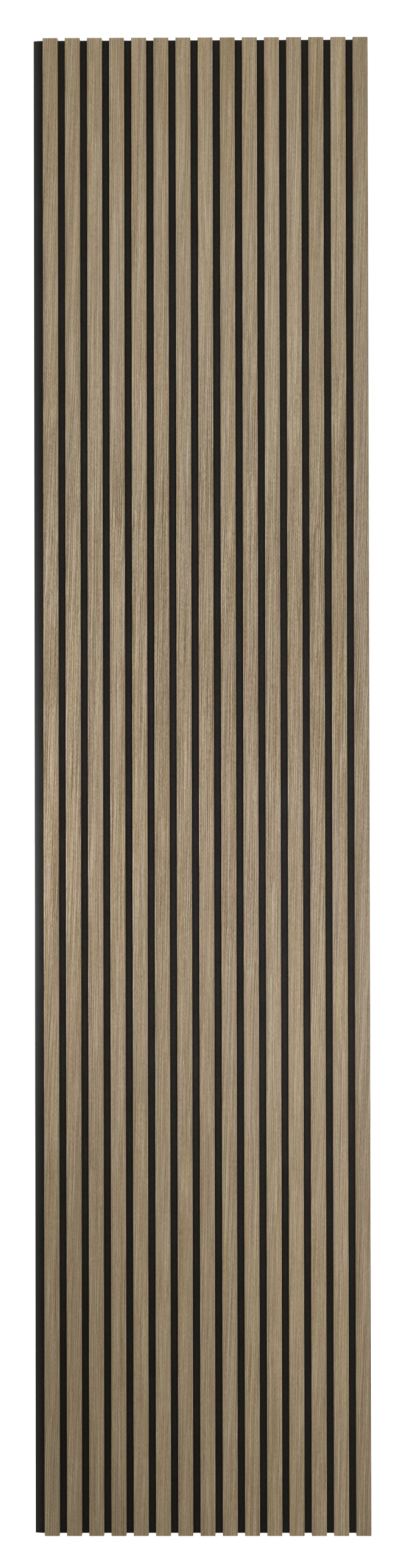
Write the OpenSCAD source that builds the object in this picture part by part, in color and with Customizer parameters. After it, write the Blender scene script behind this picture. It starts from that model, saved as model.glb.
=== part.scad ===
// Acoustic slat wall panel: veneered slats fixed to a black felt backing board.
// +Z is up along the slats, the slats face -Y, and the felt's back lies at Y = 0.
// The origin is the centre of that back face.

/* [Panel] */
// Height of the panel, along the slats
panel_h = 2700; // [600:10:3000]
// Number of slats
slat_count = 15; // [2:1:20]

/* [Slats] */
// Width of a slat, over the veneer
slat_w = 27; // [20:0.5:60]
// Depth of a slat, from the felt to its face
slat_t = 12; // [9:0.5:22]
// Open groove between two slats
slat_gap = 13; // [6:0.5:40]
// Thickness of the veneer wrapped round a slat's face and sides
veneer_t = 0.5; // [0.3:0.1:1]
// Outer radius where the veneer turns over a slat's long edges
edge_r = 1.2; // [1.1:0.1:3]

/* [Felt] */
// Thickness of the felt backing board
felt_t = 9; // [6:0.5:12]
// Bare felt beside the first slat, where the next panel butts up
felt_lip = 17; // [5:0.5:40]

/* [Staples] */
// Staples along each slat, driven through the felt from behind
staples_per_slat = 6; // [2:1:12]
// Distance from a slat's end to its last staple
staple_inset = 90; // [20:5:200]
// Width of a staple over its crown
staple_w = 10; // [6:0.5:14]
// Length of a staple from its crown's outer face to its points
staple_leg = 14; // [10:0.5:17]
// Width of the flat staple wire
wire_w = 1.2; // [0.8:0.1:1.6]
// Thickness of the flat staple wire
wire_t = 0.6; // [0.4:0.1:1]
// How far the crown is driven below the felt's back
crown_sink = 0.5; // [0.1:0.1:1]

/* [Hidden] */
// How far a cut runs past the face that it opens
overrun = 1;
// Smoothness of the rounded slat edges
$fn = 32;

slat_pitch = slat_w + slat_gap;
panel_w = felt_lip + slat_count * slat_w + (slat_count - 1) * slat_gap;
first_slat_x = -panel_w / 2 + felt_lip + slat_w / 2;
staple_run = panel_h - 2 * staple_inset;

oak = [0.63, 0.56, 0.46];
fibreboard = [0.66, 0.53, 0.38];
black_felt = [0.16, 0.16, 0.16];
zinc = [0.75, 0.76, 0.78];

// Slats are counted from 0 at the side with the bare felt, and their names from 01
slats = [0 : slat_count - 1];
function slat_x(i) = first_slat_x + i * slat_pitch;
function numbered(name, i) = str(name, "_", i < 9 ? "0" : "", i + 1);
function staple_z(j) = -staple_run / 2 + j * staple_run / (staples_per_slat - 1);

// A slat's section seen from above: its back on Y = 0, its two front corners rounded.
// The back can run past Y = 0 where the outline is used as a cut.
module slat_outline(w, t, r, back = 0) {
    difference() {
        translate([-w / 2, -t]) square([w, t + back]);
        for (side = [-1, 1]) translate([side * (w / 2 - r), r - t])
            difference() {
                translate([side * r, -r]) square(2 * r, center = true);
                circle(r);
            }
    }
}

// The fibreboard fills what the veneer wraps
module core_outline(back = 0) {
    slat_outline(slat_w - 2 * veneer_t, slat_t - veneer_t, edge_r - veneer_t, back);
}

// A staple seen from above, its legs pointing forwards with their inner corners cut at 45 degrees
module staple_outline(back) {
    outer = staple_w / 2;
    inner = outer - wire_t;
    crown_front = -crown_sink - wire_t;
    point = -crown_sink - staple_leg;
    polygon([
        [-outer, back], [outer, back],
        [outer, point], [inner, point + wire_t],
        [inner, crown_front], [-inner, crown_front],
        [-inner, point + wire_t], [-outer, point]
    ]);
}

// One slat's staples, or the slots that they make, which are open at the felt's back
module staple_row(back = -crown_sink) {
    for (j = [0 : staples_per_slat - 1]) translate([0, 0, staple_z(j)])
        linear_extrude(height = wire_w, center = true) staple_outline(back);
}

module felt_backing() {
    color(black_felt) difference() {
        translate([-panel_w / 2, -felt_t, -panel_h / 2]) cube([panel_w, felt_t, panel_h]);
        for (i = slats) translate([slat_x(i), 0, 0]) staple_row(overrun);
    }
}

module slat_core(i) {
    color(fibreboard) translate([slat_x(i), 0, 0]) difference() {
        translate([0, -felt_t, 0]) linear_extrude(height = panel_h, center = true) core_outline();
        staple_row(overrun);
    }
}

// The veneer covers the face and both sides, so the core shows only at the cut ends
module veneer_wrap(i) {
    color(oak) translate([slat_x(i), -felt_t, 0])
        linear_extrude(height = panel_h, center = true) difference() {
            slat_outline(slat_w, slat_t, edge_r);
            core_outline(overrun);
        }
}

module staples() {
    color(zinc) for (i = slats) translate([slat_x(i), 0, 0]) staple_row();
}

felt_backing();
for (i = slats) slat_core(i);
for (i = slats) veneer_wrap(i);
staples();
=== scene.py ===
import bpy
import bmesh
import math
import random
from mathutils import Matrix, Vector, noise


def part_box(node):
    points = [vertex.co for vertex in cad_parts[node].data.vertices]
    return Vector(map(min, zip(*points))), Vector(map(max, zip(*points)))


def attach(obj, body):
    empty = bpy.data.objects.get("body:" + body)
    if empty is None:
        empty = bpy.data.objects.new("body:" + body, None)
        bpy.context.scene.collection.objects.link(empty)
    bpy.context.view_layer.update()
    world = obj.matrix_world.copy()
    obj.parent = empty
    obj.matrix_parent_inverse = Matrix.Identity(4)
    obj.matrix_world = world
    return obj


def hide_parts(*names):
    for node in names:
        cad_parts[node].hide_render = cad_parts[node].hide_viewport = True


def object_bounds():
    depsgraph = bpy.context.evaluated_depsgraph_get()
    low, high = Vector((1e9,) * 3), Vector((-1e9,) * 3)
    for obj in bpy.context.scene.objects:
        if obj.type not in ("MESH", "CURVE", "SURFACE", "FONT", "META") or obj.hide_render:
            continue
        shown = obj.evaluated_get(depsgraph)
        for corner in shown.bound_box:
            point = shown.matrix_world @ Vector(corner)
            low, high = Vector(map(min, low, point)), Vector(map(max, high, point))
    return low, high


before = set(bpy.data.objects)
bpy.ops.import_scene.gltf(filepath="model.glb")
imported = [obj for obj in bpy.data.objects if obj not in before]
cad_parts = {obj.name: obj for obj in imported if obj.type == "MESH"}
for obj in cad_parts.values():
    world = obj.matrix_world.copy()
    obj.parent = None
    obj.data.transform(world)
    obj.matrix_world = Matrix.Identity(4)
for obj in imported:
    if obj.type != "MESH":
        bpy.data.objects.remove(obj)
cadLow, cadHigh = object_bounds()
veneerNames = sorted(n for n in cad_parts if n.startswith("veneer_wrap_"))
coreNames = sorted(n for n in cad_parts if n.startswith("slat_core_"))
feltLow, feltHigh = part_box("felt_backing")
slatBoxes = [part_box(n) for n in veneerNames]
slatCentres = [(low.x + high.x) / 2 for low, high in slatBoxes]
slatHalf = (slatBoxes[0][1].x - slatBoxes[0][0].x) / 2
slatFront = slatBoxes[0][0].y
slatPitch = slatCentres[1] - slatCentres[0]
grooveWidth = slatPitch - 2 * slatHalf
mm = 0.001
black = (0.0, 0.0, 0.0, 1.0)
white = (1.0, 1.0, 1.0, 1.0)
print("frame loaded with", len(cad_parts), "nodes and", len(veneerNames), "slats")

# In the functions below, v holds the values of the piece that they make, and s those of the
# staples. Lengths are in metres.


# a colour as read off a screen, 0 to 255, turned into the linear values that nodes want
def fromScreen(r, g, b):
    def linear(level):
        level = level / 255
        return level / 12.92 if level <= 0.04045 else ((level + 0.055) / 1.055) ** 2.4
    return (linear(r), linear(g), linear(b), 1.0)


def grey(level):
    return (level, level, level, 1.0)


def plug(tree, value, socket):
    if isinstance(value, bpy.types.NodeSocket):
        tree.links.new(value, socket)
    else:
        socket.default_value = value


# inputs go by a socket's name or number, and take a number, a colour or another node's output
def addNode(tree, kind, inputs=None, **settings):
    made = tree.nodes.new(kind)
    for name, value in settings.items():
        setattr(made, name, value)
    for name, value in (inputs or {}).items():
        plug(tree, value, made.inputs[name])
    return made


def doMath(tree, operation, a, b=0.0, c=0.0):
    return addNode(tree, "ShaderNodeMath", {0: a, 1: b, 2: c}, operation=operation).outputs[0]


def addVectors(tree, a, b):
    return addNode(tree, "ShaderNodeVectorMath", {0: a, 1: b}, operation="ADD").outputs[0]


def multiplyVectors(tree, a, b):
    return addNode(tree, "ShaderNodeVectorMath", {0: a, 1: b}, operation="MULTIPLY").outputs[0]


def scaleVector(tree, a, amount):
    return addNode(tree, "ShaderNodeVectorMath", {0: a, "Scale": amount}, operation="SCALE").outputs[0]


def objectPlace(tree):
    return addNode(tree, "ShaderNodeTexCoord").outputs["Object"]


def splitAxes(tree, vector):
    return addNode(tree, "ShaderNodeSeparateXYZ", {0: vector}).outputs


# noise whose blobs measure size along x, y and z; its output is 0 for a level, or "Color"
def stretchedNoise(tree, coords, size, detail=1.0, roughness=0.5, output=0):
    stretch = addNode(tree, "ShaderNodeMapping", {"Vector": coords, "Scale": [1 / s for s in size]})
    made = addNode(tree, "ShaderNodeTexNoise",
                   {"Vector": stretch.outputs[0], "Scale": 1.0, "Detail": detail, "Roughness": roughness})
    return made.outputs[output]


# how far a 0 to 1 level is from its middle, times an amount
def swing(tree, level, amount):
    return doMath(tree, "MULTIPLY", doMath(tree, "SUBTRACT", level, 0.5), amount)


# 0 at the panel's foot and 1 at its top
def upThePanel(tree, z):
    return doMath(tree, "DIVIDE", doMath(tree, "SUBTRACT", z, cadLow.z), cadHigh.z - cadLow.z)


# 1 where a distance is 0, down to 0 at its limit
def nearness(tree, distance, limit):
    share = doMath(tree, "SUBTRACT", 1.0, doMath(tree, "DIVIDE", distance, limit))
    return addNode(tree, "ShaderNodeClamp", {0: share}).outputs[0]


def ramp(tree, factor, stops):
    made = addNode(tree, "ShaderNodeValToRGB", {0: factor})
    band = made.color_ramp.elements
    while len(band) < len(stops):
        band.new(0.5)
    for element, (place, colour) in zip(band, stops):
        element.position = place
        element.color = colour
    return made.outputs[0]


# 0 below the first edge and 1 above the second
def mask(tree, factor, edges):
    return ramp(tree, factor, list(zip(edges, (black, white))))


# a Mix node's colours are its sockets 6 and 7, and its mixed colour is output 2
def mixColours(tree, factor, a, b, blend="MIX"):
    made = addNode(tree, "ShaderNodeMix", {0: factor, 6: a, 7: b}, data_type="RGBA", blend_type=blend)
    return made.outputs[2]


def newMaterial(name):
    made = bpy.data.materials.new(name)
    made.use_nodes = True
    made.node_tree.nodes.clear()
    return made, made.node_tree


def finishMaterial(tree, shader, colour, roughness, height, reliefDepth):
    bump = addNode(tree, "ShaderNodeBump", {"Height": height, "Distance": reliefDepth, "Strength": 1.0})
    plug(tree, colour, shader.inputs["Base Color"])
    plug(tree, roughness, shader.inputs["Roughness"])
    plug(tree, bump.outputs[0], shader.inputs["Normal"])
    out = addNode(tree, "ShaderNodeOutputMaterial")
    plug(tree, shader.outputs[0], out.inputs["Surface"])


def useMaterial(piece, material):
    piece.data.materials.clear()
    piece.data.materials.append(material)


def joinScene(name, mesh, material, smooth=False):
    piece = bpy.data.objects.new(name, mesh)
    bpy.context.scene.collection.objects.link(piece)
    useMaterial(piece, material)
    if smooth:
        for face in mesh.polygons:
            face.use_smooth = True
    return piece


# turns a bmesh into a smooth piece whose sharp bends stay sharp
def finishPiece(name, bm, material, sharpAngle=None):
    bmesh.ops.recalc_face_normals(bm, faces=bm.faces)
    mesh = bpy.data.meshes.new(name)
    bm.to_mesh(mesh)
    bm.free()
    piece = joinScene(name, mesh, material, smooth=True)
    if sharpAngle:
        mesh.set_sharp_from_angle(angle=math.radians(sharpAngle))
    return piece


# Camera, where the photograph was taken from: level with the middle of the panel, 2.9 m in front
cameraPlace = {
    "position": (0.01099, -2.92885, -0.01591),
    "turn": (90.3399, 0.1154, 0.2460),  # degrees about x, y and z
    "focalPixels": 2651.6,
    "photoHeight": 2576,
    "sensor": 36.0,
    "clip": (0.05, 100.0),
}


def makeCamera(v):
    data = bpy.data.cameras.new("camera")
    data.sensor_width = v["sensor"]
    data.lens = v["focalPixels"] * v["sensor"] / v["photoHeight"]
    data.clip_start, data.clip_end = v["clip"]
    made = bpy.data.objects.new("camera", data)
    made.location = v["position"]
    made.rotation_euler = [math.radians(a) for a in v["turn"]]
    bpy.context.scene.collection.objects.link(made)
    bpy.context.scene.camera = made


makeCamera(cameraPlace)

# Light: two softboxes in front and to the right, a large one at the left, a small one that grazes
# the panel's left edge, and one behind for the back
lamps = {
    "upper": {"at": (0.15, -1.5, 1.27), "aim": (0.18, 0.0, 0.92), "size": (0.9, 0.8), "watts": 8.6},
    "lower": {"at": (0.38, -1.3, -0.5), "aim": (1.5, 0.0, -0.45), "size": (0.9, 0.8), "watts": 8.5},
    "left": {"at": (-0.8, -0.13, -0.16), "aim": (-0.34, 0.0, 0.09), "size": (0.08, 0.5), "watts": 5.6},
    "broad": {"at": (-1.44, -2.6, 0.36), "aim": (0.0, 0.0, 0.08), "size": (1.6, 2.4), "watts": 11.4},
    "rear": {"at": (0.7, 3.0, 0.8), "aim": (0.0, 0.0, 0.0), "size": (2.0, 2.0), "watts": 55},
}
surroundings = {
    "ambient": 0.27,
    "floorColour": grey(0.7),
    "floorGlow": 0.9,
    "floorSize": 80.0,
}


def makeLamp(name, v):
    data = bpy.data.lights.new(name, "AREA")
    data.shape = "RECTANGLE"
    data.size, data.size_y = v["size"]
    data.energy = v["watts"]
    made = bpy.data.objects.new(name, data)
    made.location = v["at"]
    aim = Vector(v["aim"]) - Vector(v["at"])
    made.rotation_euler = aim.to_track_quat("-Z", "Y").to_euler()
    made.visible_camera = False
    bpy.context.scene.collection.objects.link(made)


# 1 where the picture, a reflection or a view through glass looks at the surface
def seenDirectly(tree):
    path = addNode(tree, "ShaderNodeLightPath").outputs
    mirrored = doMath(tree, "MAXIMUM", path["Is Glossy Ray"], path["Is Transmission Ray"])
    return doMath(tree, "MAXIMUM", path["Is Camera Ray"], mirrored)


# the room lights the panel softly, and shows white behind it
def makeRoom(v):
    world = bpy.data.worlds.new("studio")
    bpy.context.scene.world = world
    world.use_nodes = True
    tree = world.node_tree
    tree.nodes.clear()
    light = addNode(tree, "ShaderNodeBackground", {"Color": white, "Strength": v["ambient"]})
    seen = addNode(tree, "ShaderNodeBackground", {"Color": white, "Strength": 1.0})
    mix = addNode(tree, "ShaderNodeMixShader",
                  {0: seenDirectly(tree), 1: light.outputs[0], 2: seen.outputs[0]})
    out = addNode(tree, "ShaderNodeOutputWorld")
    plug(tree, mix.outputs[0], out.inputs["Surface"])


# the floor shows white but keeps the panel's shadow
def makeFloor(v):
    material, tree = newMaterial("pale_floor")
    matt = addNode(tree, "ShaderNodeBsdfDiffuse", {"Color": v["floorColour"]})
    glow = addNode(tree, "ShaderNodeEmission", {"Color": white})
    plug(tree, doMath(tree, "MULTIPLY", seenDirectly(tree), v["floorGlow"]), glow.inputs["Strength"])
    both = addNode(tree, "ShaderNodeAddShader", {0: matt.outputs[0], 1: glow.outputs[0]})
    out = addNode(tree, "ShaderNodeOutputMaterial")
    plug(tree, both.outputs[0], out.inputs["Surface"])
    half = v["floorSize"] / 2
    corners = [(x * half, y * half, cadLow.z) for x, y in ((-1, -1), (1, -1), (1, 1), (-1, 1))]
    mesh = bpy.data.meshes.new("floor")
    mesh.from_pydata(corners, [], [(0, 1, 2, 3)])
    joinScene("floor", mesh, material)


for lampName, lampValues in lamps.items():
    makeLamp(lampName, lampValues)
makeRoom(surroundings)
makeFloor(surroundings)
print("camera, lamps and floor ready")

# Oak veneer: grey-brown, straight grained, each slat cut from another place in the sheet
oak = {
    "seed": 2701,
    "farApart": 20.0,  # how far from the sheet's middle a strip may be cut
    "dark": fromScreen(104, 84, 50),
    "middle": fromScreen(169.2, 146.9, 116.7),
    "light": fromScreen(212, 195, 172),
    "shadePlaces": (0.1, 0.5, 0.9),  # where dark, middle and light lie on the figure's 0 to 1
    "warmth": 0.08,  # how far a zone swings to warm or cool
    "redShare": 0.45,  # how far red and green follow that swing of the blue
    "greenShare": 0.2,
    "zoneSize": (3.5 * mm, 3.5 * mm, 600 * mm),
    "zoneEdges": (0.3, 0.7),
    "olive": (0.955, 1.0, 0.945, 1.0),
    "pink": (1.0, 0.96, 0.985, 1.0),
    "blushSize": (6.5 * mm, 6.5 * mm, 70 * mm),
    "blushEdges": (0.3, 0.7),
    "lineSize": (1.6 * mm, 1.6 * mm, 220 * mm),
    "lineAmount": 1.1,
    "lineRoughness": 0.52,
    "ringSpacing": 3.3 * mm,
    "ringAmount": 0.09,
    "ringDrift": 5 * mm,
    "ringDriftSize": (12 * mm, 12 * mm, 400 * mm),
    "longSize": (2.1 * mm, 2.1 * mm, 450 * mm),
    "longAmount": 0.53,
    "toneSize": (60 * mm, 60 * mm, 1400 * mm),
    "toneAmount": 0.2,
    "patchSize": (30 * mm, 30 * mm, 260 * mm),
    "patchAmount": 0.7,
    "grainSize": (0.9 * mm, 0.9 * mm, 5 * mm),
    "grainAmount": 0.7,
    "poreSize": (0.8 * mm, 0.8 * mm, 26 * mm),
    "poreEdges": (0.58, 0.72),
    "poreDark": 0.36,
    "creamSize": (1.6 * mm, 1.6 * mm, 160 * mm),
    "creamEdges": (0.66, 0.8),
    "creamAmount": 0.45,
    # how bold the sheet's figure is, from the panel's foot at 0 to its top at 1
    "boldness": [(0.0, 0.58), (0.2, 0.57), (0.33, 0.67), (0.43, 0.82), (0.55, 0.9), (0.68, 1.0),
                 (0.8, 0.72), (1.0, 0.6)],
    "boldest": 1.25,
    # how much blue is left in its colour: painted warmth makes it yellower towards its foot and its top,
    # where the light is dimmer
    "dimLightWarmth": [(0.0, 0.93), (0.17, 0.95), (0.3, 0.975), (0.42, 1.0), (0.52, 1.0), (0.65, 0.97),
                  (0.75, 0.945), (1.0, 0.92)],
    # painted shade darkens the face beside its long edges, and painted light makes the right arris paler
    "paintedEdgeShade": 0.09,  # the face is a shade darker beside its long edges
    "edgeFlat": 2 * mm,
    "edgeFade": 6 * mm,
    "arris": 1.2 * mm,
    "arrisPaintedLight": 1.4,
    "arrisGain": 2.0,
    "wander": 8 * mm,
    "wanderSize": (160 * mm, 160 * mm, 420 * mm),
    "wiggle": 1.6 * mm,
    "wiggleSize": (30 * mm, 30 * mm, 80 * mm),
    "slant": (0.008, 0.034),  # least and most lean of the grain, in radians
    "toneSpread": 0.015,
    "lastTone": 0.86,  # the last slat's strip is a darker one
    "roughness": 0.46,
    "roughSpread": 0.2,
    "shine": 0.38,
    "reliefDepth": 0.02 * mm,
    "lineRelief": 0.5,  # how high the lines stand, where the pores are 1 deep
}


# a colour leaning warm (above 0) or cool (below 0)
def leaning(colour, lean, v):
    red, green, blue = 1 + v["redShare"] * lean, 1 + v["greenShare"] * lean, 1 - lean
    return (colour[0] * red, colour[1] * green, colour[2] * blue, 1.0)


# the grain wanders slowly across the slat and wiggles a little
def wanderingGrain(tree, cut, v):
    drift = swing(tree, stretchedNoise(tree, cut, v["wanderSize"]), v["wander"])
    shake = swing(tree, stretchedNoise(tree, cut, v["wiggleSize"], detail=2), v["wiggle"])
    sideways = doMath(tree, "ADD", drift, shake)
    push = addNode(tree, "ShaderNodeCombineXYZ", {0: sideways, 1: sideways}).outputs[0]
    return addVectors(tree, cut, push)


# growth rings, met edge on, lie a few millimetres apart
def growthRings(tree, grain, v):
    axes = splitAxes(tree, grain)
    across = doMath(tree, "ADD", axes[0], axes[1])
    loose = swing(tree, stretchedNoise(tree, grain, v["ringDriftSize"]), v["ringDrift"])
    turn = doMath(tree, "MULTIPLY", doMath(tree, "ADD", across, loose), 2 * math.pi / v["ringSpacing"])
    return doMath(tree, "SINE", turn)


# warm and cool zones, and faint pink and olive ones
def oakColour(tree, grain, figure, v):
    shades = (v["dark"], v["middle"], v["light"])
    warm, cool = [ramp(tree, figure, list(zip(v["shadePlaces"], [leaning(c, way, v) for c in shades])))
                  for way in (v["warmth"], -v["warmth"])]
    zones = stretchedNoise(tree, grain, v["zoneSize"])
    colour = mixColours(tree, mask(tree, zones, v["zoneEdges"]), warm, cool)
    blush = stretchedNoise(tree, grain, v["blushSize"])
    tint = ramp(tree, blush, list(zip(v["blushEdges"], (v["olive"], v["pink"]))))
    return mixColours(tree, 1.0, colour, tint, "MULTIPLY")


# painted shade darkens the face a little towards its sides, and painted light makes its right arris
# paler, against the shade of its rounding
def shadeEdges(tree, colour, spot, centre, v):
    offCentre = doMath(tree, "ABSOLUTE", doMath(tree, "SUBTRACT", spot[0], centre))
    inset = doMath(tree, "SUBTRACT", slatHalf, offCentre)
    pastFlat = doMath(tree, "SUBTRACT", inset, v["edgeFlat"])
    shaded = doMath(tree, "MULTIPLY", nearness(tree, pastFlat, v["edgeFade"]), v["paintedEdgeShade"])
    colour = mixColours(tree, shaded, colour, black)
    nearSide = nearness(tree, doMath(tree, "SUBTRACT", centre + slatHalf, spot[0]), v["arris"])
    nearFront = nearness(tree, doMath(tree, "SUBTRACT", spot[1], slatFront), v["arris"])
    nearBoth = doMath(tree, "MULTIPLY", nearSide, nearFront)
    arrisLight = doMath(tree, "MINIMUM", doMath(tree, "MULTIPLY", nearBoth, v["arrisGain"]), 1.0)
    return mixColours(tree, arrisLight, colour, scaleVector(tree, colour, v["arrisPaintedLight"]))


def oakVeneer(name, centre, draw, v):
    material, tree = newMaterial(name)
    place = objectPlace(tree)
    lean = -draw.uniform(*v["slant"])
    shift = [draw.uniform(-v["farApart"], v["farApart"]) for _ in range(3)]
    tone = 1 + draw.uniform(-v["toneSpread"], v["toneSpread"])
    if centre == slatCentres[-1]:
        tone *= v["lastTone"]
    cut = addNode(tree, "ShaderNodeMapping",
                  {"Vector": place, "Location": shift, "Rotation": (0, lean, 0)}).outputs[0]
    grain = wanderingGrain(tree, cut, v)
    lines = stretchedNoise(tree, grain, v["lineSize"], detail=2, roughness=v["lineRoughness"])
    longLines = stretchedNoise(tree, grain, v["longSize"])
    tones = stretchedNoise(tree, cut, v["toneSize"])
    patches = stretchedNoise(tree, cut, v["patchSize"])
    fine = stretchedNoise(tree, grain, v["grainSize"])
    pores = stretchedNoise(tree, grain, v["poreSize"], detail=0)
    cream = stretchedNoise(tree, grain, v["creamSize"], detail=0)

    # lines are boldest above the middle of the sheet, and stand out or fade a little by patches
    spot = splitAxes(tree, place)
    upwards = upThePanel(tree, spot[2])
    bold = ramp(tree, upwards, [(at, grey(b)) for at, b in v["boldness"]])
    patched = doMath(tree, "ADD", swing(tree, patches, v["patchAmount"]), 1.0)
    strength = doMath(tree, "MULTIPLY", doMath(tree, "MULTIPLY", bold, v["boldest"]), patched)
    streak = doMath(tree, "MULTIPLY", growthRings(tree, grain, v), v["ringAmount"])
    streak = doMath(tree, "ADD", streak, swing(tree, lines, v["lineAmount"]))
    streak = doMath(tree, "ADD", streak, swing(tree, longLines, v["longAmount"]))
    streak = doMath(tree, "ADD", streak, swing(tree, fine, v["grainAmount"]))
    streak = doMath(tree, "MULTIPLY", streak, strength)
    figure = doMath(tree, "ADD", streak, doMath(tree, "ADD", swing(tree, tones, v["toneAmount"]), 0.5))

    colour = oakColour(tree, grain, figure, v)
    # painted warmth towards foot and top, then each slat's own tone
    dimLightWarm = ramp(tree, upwards, [(at, (1, 1, blue, 1)) for at, blue in v["dimLightWarmth"]])
    for wash in (dimLightWarm, grey(tone)):
        colour = mixColours(tree, 1.0, colour, wash, "MULTIPLY")

    # open pores are short dark dashes along the grain, and a few lines are creamy
    poreMask = mask(tree, pores, v["poreEdges"])
    inPores = doMath(tree, "MULTIPLY", doMath(tree, "MULTIPLY", poreMask, strength), v["poreDark"])
    colour = mixColours(tree, inPores, colour, v["dark"])
    creamMask = mask(tree, cream, v["creamEdges"])
    colour = mixColours(tree, doMath(tree, "MULTIPLY", creamMask, v["creamAmount"]), colour, v["light"])
    colour = shadeEdges(tree, colour, spot, centre, v)

    relief = doMath(tree, "SUBTRACT", doMath(tree, "MULTIPLY", lines, v["lineRelief"]), poreMask)
    smoothest = v["roughness"] - v["roughSpread"] / 2
    roughness = doMath(tree, "MULTIPLY_ADD", lines, v["roughSpread"], smoothest)
    shader = addNode(tree, "ShaderNodeBsdfPrincipled", {"Specular IOR Level": v["shine"]})
    finishMaterial(tree, shader, colour, roughness, relief, v["reliefDepth"])
    return material


sheetDraw = random.Random(oak["seed"])
for nodeName, slatCentre in zip(veneerNames, slatCentres):
    veneerLook = oakVeneer("oak_" + nodeName[-2:], slatCentre, sheetDraw, oak)
    useMaterial(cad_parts[nodeName], veneerLook)
print("oak veneer on", len(veneerNames), "slats")

# Fibreboard, which shows only at the slats' cut ends
fibreboard = {
    "dark": fromScreen(118, 88, 58),
    "middle": fromScreen(168, 135, 98),
    "light": fromScreen(196, 168, 132),
    "shadePlaces": (0.3, 0.5, 0.7),
    "fibreSize": (0.5 * mm, 0.25 * mm, 0.5 * mm),
    "fibreDetail": 0.7,
    "clumpSize": (1.6 * mm, 0.9 * mm, 1.6 * mm),
    "clumpShare": 0.5,
    "sawSize": (40 * mm, 0.35 * mm, 40 * mm),
    "sawRelief": 0.6,
    "roughness": 0.85,
    "roughSpread": 0.1,
    "shine": 0.2,
    "reliefDepth": 0.1 * mm,
}


def fibreboardMaterial(v):
    material, tree = newMaterial("fibreboard")
    place = objectPlace(tree)
    fibres = stretchedNoise(tree, place, v["fibreSize"], detail=2, roughness=v["fibreDetail"])
    clumps = stretchedNoise(tree, place, v["clumpSize"], detail=2)
    saw = stretchedNoise(tree, place, v["sawSize"], detail=0)
    loose = doMath(tree, "MULTIPLY", fibres, 1 - v["clumpShare"])
    mixed = doMath(tree, "MULTIPLY_ADD", clumps, v["clumpShare"], loose)
    colour = ramp(tree, mixed, list(zip(v["shadePlaces"], (v["dark"], v["middle"], v["light"]))))
    height = doMath(tree, "MULTIPLY_ADD", saw, v["sawRelief"], fibres)
    shader = addNode(tree, "ShaderNodeBsdfPrincipled", {"Specular IOR Level": v["shine"]})
    smoothest = v["roughness"] - v["roughSpread"] / 2
    rough = doMath(tree, "MULTIPLY_ADD", fibres, v["roughSpread"], smoothest)
    finishMaterial(tree, shader, colour, rough, height, v["reliefDepth"])
    return material


fibreboardLook = fibreboardMaterial(fibreboard)
for nodeName in coreNames:
    useMaterial(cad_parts[nodeName], fibreboardLook)
print("fibreboard on", len(coreNames), "cores")

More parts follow.
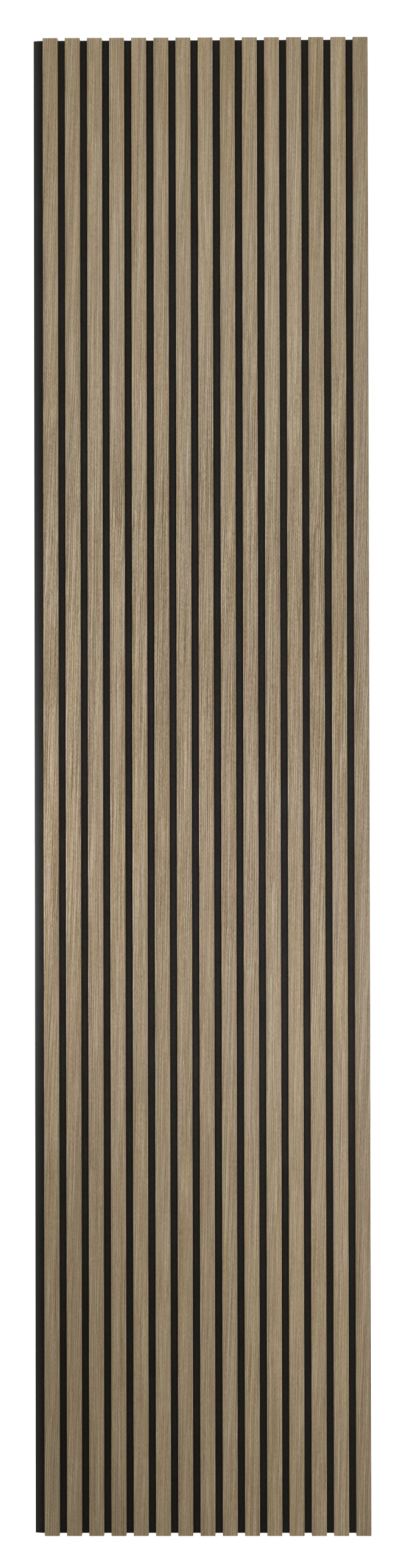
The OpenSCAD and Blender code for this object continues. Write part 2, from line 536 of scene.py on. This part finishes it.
# Black needle-punched felt: a board cut with a knife, its bare lip rounded off a little
felt = {
    "dark": fromScreen(29, 28, 26),
    "middle": fromScreen(43, 42, 40),
    "light": fromScreen(66, 65, 64),
    "shadePlaces": (0.3, 0.56, 0.85),
    "fibreSize": (0.3 * mm, 0.3 * mm, 1.6 * mm),
    "crossSize": (1.6 * mm, 0.3 * mm, 0.3 * mm),
    "curl": 1.4 * mm,
    "curlSize": (2 * mm, 2 * mm, 2 * mm),
    "tuftSize": (1.6 * mm, 1.6 * mm, 1.6 * mm),
    "tuftAmount": 0.5,
    "cloudSize": (30 * mm, 30 * mm, 60 * mm),
    "cloudAmount": 0.25,
    # the lip's cut edge is paler: partly its loose fibres, partly painted light that grazes it
    "edgeFluffLightColour": fromScreen(80, 80, 80),
    "edgeFluffLightWidth": 9 * mm,
    "edgeFluffLightAmount": 0.45,
    "edgeFluffLightRagged": 5 * mm,
    # painted light: how pale the felt is made between the slats, from the panel's foot at 0 to its top at
    # 1
    "grooveLightByHeight": [(0.0, 0.53), (0.15, 0.545), (0.22, 0.67), (0.31, 0.875), (0.39, 0.885), (0.47, 0.87),
                (0.56, 0.82), (0.64, 0.745), (0.72, 0.72), (0.8, 0.68), (0.87, 0.58), (1.0, 0.49)],
    # the gain and tint of that painted light in the grooves
    "grooveLightTint": (1.515, 1.43, 1.43),
    # how much blue is left there: painted warmth, yellower towards foot and top where the light is dimmer
    "dimLightWarmth": [(0.0, 0.85), (0.17, 0.87), (0.3, 0.93), (0.42, 1.0), (0.52, 1.0), (0.65, 0.96),
                  (0.75, 0.91), (1.0, 0.86)],
    # painted shade in the corners beside each slat
    "footShade": 0.5,  # how much darker the felt is right beside a slat
    "footWidth": 4.5 * mm,
    "roughness": 0.88,
    "roughSpread": 0.1,
    "shine": 0.1,
    "sheen": 0.25,
    "sheenRoughness": 0.5,
    "reliefDepth": 0.3 * mm,
    "edgeRadius": 0.5 * mm,
    "lipWidth": 17 * mm,
    # painted shade on the lip, darker beside the first slat
    "lipDark": 0.35,  # how much darker the lip is beside the first slat
    # painted shade: what is left of the lip's red, green and blue, from the panel's foot to its top; the
    # lip is darker towards foot and top, where less light reaches it
    "lipShadeByHeight": [(0.0, (0.77, 0.76, 0.6)), (0.2, (0.84, 0.84, 0.7)), (0.32, (1.0, 1.0, 1.0)),
                (0.68, (1.0, 1.0, 1.0)), (0.86, (0.92, 0.94, 0.86)), (1.0, (0.85, 0.85, 0.74))],
    "lipReach": 0.6 * mm,  # how far the loose edge stands proud of the board
    "topReach": 0.8 * mm,  # how far the felt stands above the slats' top ends
    "lipDrop": 1.8 * mm,
    "lipCurve": 1.8,  # how sharply the drop sets in towards the edge
    "wave": 0.25 * mm,
    "wavesPerMetre": (60, 14),  # across and up
    "waveSlice": 3.0,
    "waveLevel": 0.4,
    "waveFade": 3 * mm,  # the waves die out this near to a slat
    "dimple": 0.4 * mm,
    "dimpleReach": 3 * mm,
    # the board's mesh: lines across it beside the slats, over its lip and round each staple
    "underSlat": 8 * mm,
    "overGroove": (3 * mm, 6.5 * mm, 10 * mm),
    "overLip": (2.2 * mm, 4 * mm, 7 * mm, 10 * mm, 14 * mm),
    "besideStaple": (1.6 * mm, 3.6 * mm),
    "edgeSteps": (0, 0.05, 0.2, 0.5, 1),  # shares of the edge radius
    "closest": 0.02 * mm,
    "widestStep": 60 * mm,
    "tallestStep": 30 * mm,
    "sharpAngle": 50,
}


# the fibres' own pattern, and the tufts and the shade that they make
def feltNap(tree, place, v):
    bend = stretchedNoise(tree, place, v["curlSize"], output="Color")
    curled = addVectors(tree, place, scaleVector(tree, bend, v["curl"]))
    along = stretchedNoise(tree, curled, v["fibreSize"])
    across = stretchedNoise(tree, curled, v["crossSize"])
    fibres = doMath(tree, "MAXIMUM", along, across)
    tufts = stretchedNoise(tree, place, v["tuftSize"], detail=2)
    level = doMath(tree, "ADD", fibres, swing(tree, tufts, v["tuftAmount"]))
    clouds = stretchedNoise(tree, place, v["cloudSize"], detail=2)
    shade = doMath(tree, "ADD", level, swing(tree, clouds, v["cloudAmount"]))
    return fibres, tufts, level, shade


# 1 right beside a slat, down to 0 at the foot's width
def besideSlats(tree, x, v):
    number = doMath(tree, "DIVIDE", doMath(tree, "SUBTRACT", x, slatCentres[0]), slatPitch)
    nearest = doMath(tree, "MAXIMUM", doMath(tree, "ROUND", number), 0.0)
    nearest = doMath(tree, "MINIMUM", nearest, len(slatCentres) - 1)
    offCentre = doMath(tree, "ABSOLUTE", doMath(tree, "SUBTRACT", number, nearest))
    away = doMath(tree, "SUBTRACT", doMath(tree, "MULTIPLY", offCentre, slatPitch), slatHalf)
    return nearness(tree, away, v["footWidth"])


def feltMaterial(v):
    material, tree = newMaterial("black_felt")
    place = objectPlace(tree)
    spot = splitAxes(tree, place)
    upwards = upThePanel(tree, spot[2])
    fromEdge = doMath(tree, "SUBTRACT", spot[0], feltLow.x)
    onFront = doMath(tree, "LESS_THAN", spot[1], (feltLow.y + feltHigh.y) / 2)
    pastLip = doMath(tree, "GREATER_THAN", spot[0], feltLow.x + v["lipWidth"])
    onLip = doMath(tree, "MULTIPLY", doMath(tree, "SUBTRACT", 1.0, pastLip), onFront)
    fibres, tufts, level, shade = feltNap(tree, place, v)
    colour = ramp(tree, shade, list(zip(v["shadePlaces"], (v["dark"], v["middle"], v["light"]))))

    # in the grooves, painted light makes it paler at mid height, and painted warmth yellower towards foot
    # and top
    grooveLightByHeight = ramp(tree, upwards, [(at, grey(b)) for at, b in v["grooveLightByHeight"]])
    dimLightWarm = ramp(tree, upwards, [(at, (1, 1, blue, 1)) for at, blue in v["dimLightWarmth"]])
    for other in (colour, dimLightWarm, v["grooveLightTint"]):
        grooveLightByHeight = multiplyVectors(tree, grooveLightByHeight, other)
    colour = mixColours(tree, doMath(tree, "MULTIPLY", pastLip, onFront), colour, grooveLightByHeight)

    # painted shade makes the bare lip darker towards the first slat, and the felt darker right beside the
    # slats
    inward = doMath(tree, "DIVIDE", fromEdge, v["lipWidth"])
    lipShade = doMath(tree, "MULTIPLY", doMath(tree, "MULTIPLY", inward, v["lipDark"]), onLip)
    colour = mixColours(tree, lipShade, colour, black)
    slatFootShade = doMath(tree, "MULTIPLY", besideSlats(tree, spot[0], v), onFront)
    colour = mixColours(tree, doMath(tree, "MULTIPLY", slatFootShade, v["footShade"]), colour, black)

    # the cut edge of the lip has loose fibres and is paler, partly for them and partly as painted light
    # that grazes it, and painted shade darkens the lip towards foot and top
    ragged = doMath(tree, "ADD", fromEdge, swing(tree, tufts, v["edgeFluffLightRagged"]))
    edgeFluffLight = doMath(tree, "SUBTRACT", 1.0, doMath(tree, "DIVIDE", ragged, v["edgeFluffLightWidth"]))
    edgeFluffLight = doMath(tree, "MULTIPLY", edgeFluffLight, v["edgeFluffLightAmount"])
    edgeFluffLight = addNode(tree, "ShaderNodeClamp", {0: edgeFluffLight}).outputs[0]
    colour = mixColours(tree, edgeFluffLight, colour, v["edgeFluffLightColour"])
    lipHeightShade = ramp(tree, upwards, [(at, (*left, 1)) for at, left in v["lipShadeByHeight"]])
    colour = mixColours(tree, onLip, colour, multiplyVectors(tree, colour, lipHeightShade))

    shader = addNode(tree, "ShaderNodeBsdfPrincipled",
                     {"Specular IOR Level": v["shine"], "Sheen Weight": v["sheen"],
                      "Sheen Roughness": v["sheenRoughness"]})
    rough = doMath(tree, "MULTIPLY_ADD", fibres, v["roughSpread"], v["roughness"])
    finishMaterial(tree, shader, colour, rough, level, v["reliefDepth"])
    return material


# Staples: six to a slat, each a flat wire bent into a U and driven flush from behind
staple = {
    "perSlat": 6,
    "inset": 90 * mm,  # from a slat's end to its last staple
    "half": 5 * mm,
    "wireWidth": 1.2 * mm,
    "wireThick": 0.6 * mm,
    "sink": 0.5 * mm,
    "leg": 14 * mm,
    "point": 0.02,  # the tip's share of the wire's thickness
    "bend": 0.6 * mm,  # radius of the bends, at the wire's middle
    "bendSteps": 4,
}
stapleStep = (cadHigh.z - cadLow.z - 2 * staple["inset"]) / (staple["perSlat"] - 1)
stapleHeights = [cadLow.z + staple["inset"] + k * stapleStep for k in range(staple["perSlat"])]
lipEdge = feltLow.x - felt["lipReach"]
feltTop = feltHigh.z + felt["topReach"]


# how far the board's surface falls away near its cut edges
def edgeFall(x, z, radius):
    near = min(x - lipEdge, feltHigh.x - x, z - feltLow.z, feltTop - z)
    if near >= radius:
        return 0.0
    return radius - math.sqrt(max(radius ** 2 - (radius - near) ** 2, 0.0))


# the front is flat under the slats, waves a little between them and drops off at the lip
def feltFront(x, z, v):
    y = feltLow.y + edgeFall(x, z, v["edgeRadius"])
    if any(abs(x - c) < slatHalf for c in slatCentres):
        return y
    fromSlat = min(abs(abs(x - c) - slatHalf) for c in slatCentres)
    across, up = v["wavesPerMetre"]
    bulge = noise.noise(Vector((x * across, v["waveSlice"], z * up))) - v["waveLevel"]
    y -= v["wave"] * bulge * min(fromSlat / v["waveFade"], 1)
    lipStart = feltLow.x + v["lipWidth"]
    if x < lipStart:
        y += v["lipDrop"] * ((lipStart - x) / v["lipWidth"]) ** v["lipCurve"]
    return y


# the back is flat, with a dimple round each staple
def feltBack(x, z, v, s):
    y = feltHigh.y - edgeFall(x, z, v["edgeRadius"])
    dx = max(min(abs(x - c) for c in slatCentres) - s["half"], 0)
    dz = max(min(abs(z - h) for h in stapleHeights) - s["wireWidth"] / 2, 0)
    reach = math.hypot(dx, dz) / v["dimpleReach"]
    if reach < 1:
        y -= v["dimple"] * (1 - reach) ** 2
    return y


# where the mesh has its lines: at the rounded edges, at the wanted places and evenly between them
def gridLines(low, high, wanted, step, v):
    edge = [v["edgeRadius"] * share for share in v["edgeSteps"]]
    lines = [low + e for e in edge] + [high - e for e in edge] + wanted
    lines = sorted(w for w in lines if low <= w <= high)
    kept = [lines[0]]
    for w in lines[1:]:
        if w - kept[-1] > v["closest"]:
            kept.append(w)
    full = []
    for a, b in zip(kept, kept[1:]):
        pieces = max(1, round((b - a) / step))
        full += [a + (b - a) * k / pieces for k in range(pieces)]
    return full + [kept[-1]]


def feltGrid(v, s):
    across = [lipEdge + d for d in v["overLip"]]
    for c in slatCentres:
        for d in (slatHalf, v["underSlat"], s["half"], s["half"] - s["wireThick"]):
            across += [c - d, c + d]
        across += [c + slatHalf + d for d in v["overGroove"]]
    upwards = []
    for h in stapleHeights:
        for d in (s["wireWidth"] / 2, *v["besideStaple"]):
            upwards += [h - d, h + d]
    return (gridLines(lipEdge, feltHigh.x, across, v["widestStep"], v),
            gridLines(feltLow.z, feltTop, upwards, v["tallestStep"], v))


# 0 where the board is plain, 1 under a staple's crown and 2 where its leg goes right through
def slotDepth(x, z, s):
    offCentre = min(abs(x - c) for c in slatCentres)
    offHeight = min(abs(z - h) for h in stapleHeights)
    if offHeight > s["wireWidth"] / 2 or offCentre > s["half"]:
        return 0
    return 2 if offCentre > s["half"] - s["wireThick"] else 1


def makeFeltBoard(v, s, material):
    xs, zs = feltGrid(v, s)
    columns, rows = len(xs) - 1, len(zs) - 1
    depths = [[slotDepth((xs[k] + xs[k + 1]) / 2, (zs[m] + zs[m + 1]) / 2, s) for m in range(rows)]
              for k in range(columns)]
    slotFloor = feltHigh.y - s["sink"] - s["wireThick"]
    levels = {
        "front": lambda x, z: feltFront(x, z, v),
        "back": lambda x, z: feltBack(x, z, v, s),
        "floor": lambda x, z: slotFloor,
    }
    bm = bmesh.new()
    made = {}

    def vert(level, k, m):
        key = (level, k, m)
        if key not in made:
            made[key] = bm.verts.new((xs[k], levels[level](xs[k], zs[m]), zs[m]))
        return made[key]

    def cell(level, k, m, flip):
        corners = [vert(level, *c) for c in ((k, m), (k + 1, m), (k + 1, m + 1), (k, m + 1))]
        bm.faces.new(corners[::-1] if flip else corners)

    def wall(upper, lower, a, b):
        bm.faces.new([vert(upper, *a), vert(upper, *b), vert(lower, *b), vert(lower, *a)])

    for k in range(columns):
        for m in range(rows):
            depth = depths[k][m]
            if depth != 2:
                cell("front", k, m, False)
            if depth == 0:
                cell("back", k, m, True)
            if depth == 1:
                cell("floor", k, m, True)
            # walls stand at the board's edges, and where a cell is cut deeper than its neighbour
            sides = (((k, m), (k + 1, m), 0, -1), ((k + 1, m), (k + 1, m + 1), 1, 0),
                     ((k + 1, m + 1), (k, m + 1), 0, 1), ((k, m + 1), (k, m), -1, 0))
            for a, b, dk, dm in sides:
                inside = 0 <= k + dk < columns and 0 <= m + dm < rows
                other = depths[k + dk][m + dm] if inside else None
                if other is None:
                    wall("back", "front", b, a)
                elif depth and not other:
                    wall("back", "floor", a, b)
                if depth == 2 and other != 2:
                    wall("floor", "front", a, b)
    board = finishPiece("felt_board", bm, material, v["sharpAngle"])
    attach(board, "root")
    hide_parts("felt_backing")
    return board


feltLook = feltMaterial(felt)
feltBoard = makeFeltBoard(felt, staple, feltLook)
print("felt board with", len(feltBoard.data.polygons), "faces")

# Loose fibres that stand off the felt
fuzz = {
    "seed": 904,
    "count": 6000,
    "shares": {"lip": 0.42, "groove": 0.3, "leftEdge": 0.1, "rightEdge": 0.06, "ends": 0.12},
    "crowding": 1.2,  # above 1, more of the lip's fibres stand at its edge
    "grooveMargin": 0.6 * mm,
    "edgeMargin": 1 * mm,
    "length": (0.8 * mm, 3.4 * mm),
    "radius": 0.045 * mm,
    "taper": 0.8,
    "lift": (0.15, 0.9),  # radians off the surface
    "lipLift": (-0.15, -1, 0),  # the way up off the lip
    "sway": 0.9,
    "droop": 0.6,
    "rooted": 0.1 * mm,
    "tipClear": 0.05 * mm,
}


# a place on the felt and the way out of it
def fibreRoot(draw, where, v):
    margin = v["edgeMargin"]
    z = draw.uniform(feltLow.z + margin, feltTop - margin)
    if where == "lip":
        x = lipEdge + draw.random() ** v["crowding"] * felt["lipWidth"]
        return Vector((x, feltFront(x, z, felt), z)), Vector(v["lipLift"])
    if where == "groove":
        start = draw.choice(slatCentres[:-1]) + slatHalf
        x = start + draw.uniform(v["grooveMargin"], grooveWidth - v["grooveMargin"])
        return Vector((x, feltFront(x, z, felt), z)), Vector((0, -1, 0))
    y = draw.uniform(feltLow.y + felt["lipDrop"], feltHigh.y - margin)
    if where == "leftEdge":
        return Vector((lipEdge, y, z)), Vector((-1, 0, 0))
    if where == "rightEdge":
        return Vector((feltHigh.x, y, z)), Vector((1, 0, 0))
    end = draw.choice((-1, 1))
    x = draw.uniform(feltLow.x + margin, feltHigh.x - margin)
    return Vector((x, y, feltTop if end > 0 else feltLow.z)), Vector((0, 0, end))


# one fibre: a three-sided thread, bent once and drawn out to a point
def addFibre(bm, root, out, draw, v):
    around = Vector([draw.gauss(0, 1) for _ in range(3)])
    flat = (around - out * around.dot(out)).normalized()
    lift = draw.uniform(*v["lift"])
    half = draw.uniform(*v["length"]) * 0.5
    first = (flat * math.cos(lift) + out * math.sin(lift)).normalized()
    swayed = first + flat.cross(out) * draw.uniform(-v["sway"], v["sway"])
    then = (swayed - out * draw.uniform(0, v["droop"])).normalized()
    knee = root + first * half
    tip = knee + then * half
    sunk = v["tipClear"] - (tip - root).dot(out)
    if sunk > 0:
        tip = tip + out * sunk
    side = first.cross(out).normalized()
    top = side.cross(first)
    turns = [2 * math.pi * k / 3 for k in range(3)]
    rings = []
    for p, r in ((root - out * v["rooted"], v["radius"]), (knee, v["radius"] * v["taper"])):
        rings.append([bm.verts.new(p + (side * math.cos(t) + top * math.sin(t)) * r) for t in turns])
    end = bm.verts.new(tip)
    bm.faces.new(rings[0][::-1])
    for k in range(3):
        n = (k + 1) % 3
        bm.faces.new((rings[0][k], rings[0][n], rings[1][n], rings[1][k]))
        bm.faces.new((rings[1][k], rings[1][n], end))


def makeFuzz(v, material):
    draw = random.Random(v["seed"])
    bm = bmesh.new()
    for where, share in v["shares"].items():
        for _ in range(round(v["count"] * share)):
            root, out = fibreRoot(draw, where, v)
            addFibre(bm, root, out.normalized(), draw, v)
    loose = finishPiece("felt_fibres", bm, material)
    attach(loose, "root")


makeFuzz(fuzz, feltLook)
print("loose fibres:", fuzz["count"])

# Galvanised staple wire
wire = {
    "dark": fromScreen(150, 152, 156),
    "light": fromScreen(208, 210, 214),
    "shadePlaces": (0.35, 0.65),
    "spangle": (1.5 * mm, 1.5 * mm, 1.5 * mm),
    "scratches": (6 * mm, 0.1 * mm, 0.08 * mm),
    "smoothest": 0.2,
    "roughSpread": 0.25,
    "reliefDepth": 0.02 * mm,
    "corner": 0.12 * mm,
    "cornerShare": 0.6,  # a corner's most share of the wire's half thickness
    "sharpAngle": 35,
}


def wireMaterial(v):
    material, tree = newMaterial("galvanised_wire")
    place = objectPlace(tree)
    spangle = stretchedNoise(tree, place, v["spangle"], detail=2)
    scratches = stretchedNoise(tree, place, v["scratches"])
    colour = ramp(tree, spangle, list(zip(v["shadePlaces"], (v["dark"], v["light"]))))
    rough = doMath(tree, "MULTIPLY_ADD", scratches, v["roughSpread"], v["smoothest"])
    shader = addNode(tree, "ShaderNodeBsdfPrincipled", {"Metallic": 1.0})
    finishMaterial(tree, shader, colour, rough, scratches, v["reliefDepth"])
    return material


# the wire's middle from one point to the other: place, direction across the wire, thickness share
def staplePath(s):
    thick, bend = s["wireThick"], s["bend"]
    x, top = s["half"] - thick / 2, feltHigh.y - s["sink"] - thick / 2
    low = feltHigh.y - s["sink"] - s["leg"]
    path = [((-x - thick / 2, low), (-1, 0), s["point"]), ((-x, low + thick), (-1, 0), 1.0)]
    for k in range(s["bendSteps"] + 1):
        turn = math.pi / 2 * k / s["bendSteps"]
        centre = (-x + bend, top - bend)
        across = (-math.cos(turn), math.sin(turn))
        path.append(((centre[0] + across[0] * bend, centre[1] + across[1] * bend), across, 1.0))
    return path + [((-p[0], p[1]), (-a[0], a[1]), t) for p, a, t in reversed(path)]


# one staple is a chain of eight-sided rings along the path, closed at both points
def addStaple(bm, cx, cz, path, s, v):
    wide = s["wireWidth"] / 2
    rings = []
    for (px, py), (ax, ay), share in path:
        t = s["wireThick"] / 2 * share
        c = min(v["corner"], t * v["cornerShare"])
        section = [(t, wide - c), (t, c - wide), (t - c, -wide), (c - t, -wide),
                   (-t, c - wide), (-t, wide - c), (c - t, wide), (t - c, wide)]
        rings.append([bm.verts.new((cx + px + ax * a, py + ay * a, cz + b)) for a, b in section])
    for one, two in zip(rings, rings[1:]):
        for k in range(len(one)):
            n = (k + 1) % len(one)
            bm.faces.new((one[k], one[n], two[n], two[k]))
    bm.faces.new(rings[0][::-1])
    bm.faces.new(rings[-1])


def makeStaples(s, v):
    path = staplePath(s)
    bm = bmesh.new()
    for cx in slatCentres:
        for cz in stapleHeights:
            addStaple(bm, cx, cz, path, s, v)
    made = finishPiece("staple_rows", bm, wireMaterial(v), v["sharpAngle"])
    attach(made, "root")
    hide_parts("staples")


makeStaples(staple, wire)
print("staples:", len(slatCentres) * len(stapleHeights))

bpy.context.scene.view_settings.view_transform = "Standard"
